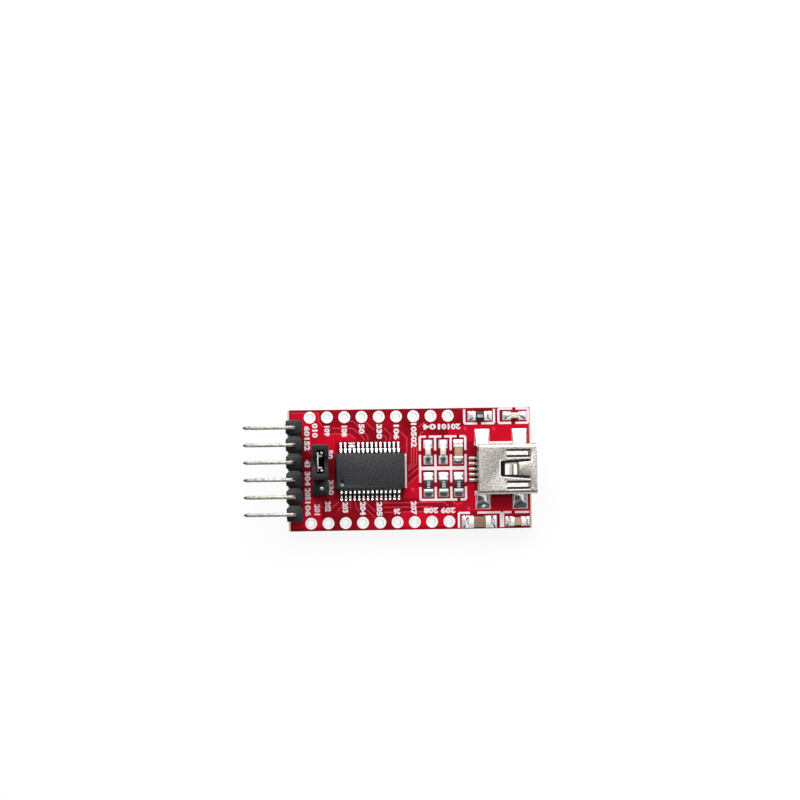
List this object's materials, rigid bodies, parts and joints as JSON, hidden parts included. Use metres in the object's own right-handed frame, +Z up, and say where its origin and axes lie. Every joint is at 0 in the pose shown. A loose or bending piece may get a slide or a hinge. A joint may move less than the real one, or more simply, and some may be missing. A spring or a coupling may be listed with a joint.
{
  "type": "usb to serial adapter module",
  "caption": "Small red adapter board with a metal mini USB socket at one end, a bent pin header at the other, a converter chip between them and a pull-off voltage selector shunt.",
  "frame": {"origin": "middle of the circuit board's underside", "axes": "+X along the board towards the USB socket, +Y across it towards the selector's shunted pair, +Z up from the component side"},
  "size_m": [0.0429, 0.0178, 0.0115],
  "materials": {
    "black_plastic": "moulded black, slightly glossy",
    "ceramic": "fired ceramic, tan",
    "chip_mould": "dark epoxy, matt",
    "laminate": "red solder mask over glass laminate, satin",
    "lamp_carrier": "white laminate",
    "lamp_resin": "pale clear resin",
    "pin_metal": "plated, bright",
    "resistor_glaze": "black glaze",
    "shell_metal": "tinned steel, satin",
    "solder": "tin, bright"
  },
  "bodies": {
    "board": {"capacitor_1_body": "ceramic", "capacitor_1_ends": "solder", "capacitor_2_body": "ceramic", "capacitor_2_ends": "solder", "capacitor_3_body": "ceramic", "capacitor_3_ends": "solder", "chip_body": "chip_mould", "chip_leads": "solder", "chip_pads": "solder", "circuit_board": "laminate", "edge_hole_rings": "solder", "header_pin_1": "pin_metal", "header_pin_2": "pin_metal", "header_pin_3": "pin_metal", "header_pin_4": "pin_metal", "header_pin_5": "pin_metal", "header_pin_6": "pin_metal", "header_solder": "solder", "header_strip": "black_plastic", "lamp_1_base": "lamp_carrier", "lamp_1_ends": "solder", "lamp_1_lens": "lamp_resin", "lamp_2_base": "lamp_carrier", "lamp_2_ends": "solder", "lamp_2_lens": "lamp_resin", "lamp_3_base": "lamp_carrier", "lamp_3_ends": "solder", "lamp_3_lens": "lamp_resin", "part_pads": "solder", "part_solder": "solder", "resistor_1_body": "resistor_glaze", "resistor_1_ends": "solder", "resistor_2_body": "resistor_glaze", "resistor_2_ends": "solder", "resistor_3_body": "resistor_glaze", "resistor_3_ends": "solder", "resistor_4_body": "resistor_glaze", "resistor_4_ends": "solder", "selector_pin_1": "pin_metal", "selector_pin_2": "pin_metal", "selector_pin_3": "pin_metal", "selector_solder": "solder", "selector_strip": "black_plastic", "socket_block": "black_plastic", "socket_contacts": "shell_metal", "socket_pads": "solder", "socket_shell": "shell_metal", "socket_tongue": "black_plastic", "solder_bridge": "solder"},
    "shunt": {"shunt_clip": "pin_metal", "shunt_housing": "black_plastic"}
  },
  "joints": [
    {"name": "shunt_pull", "type": "slide", "parent": "board", "child": "shunt", "axis": [0, 0, 1], "range_m": [0, 0.0065]}
  ]
}
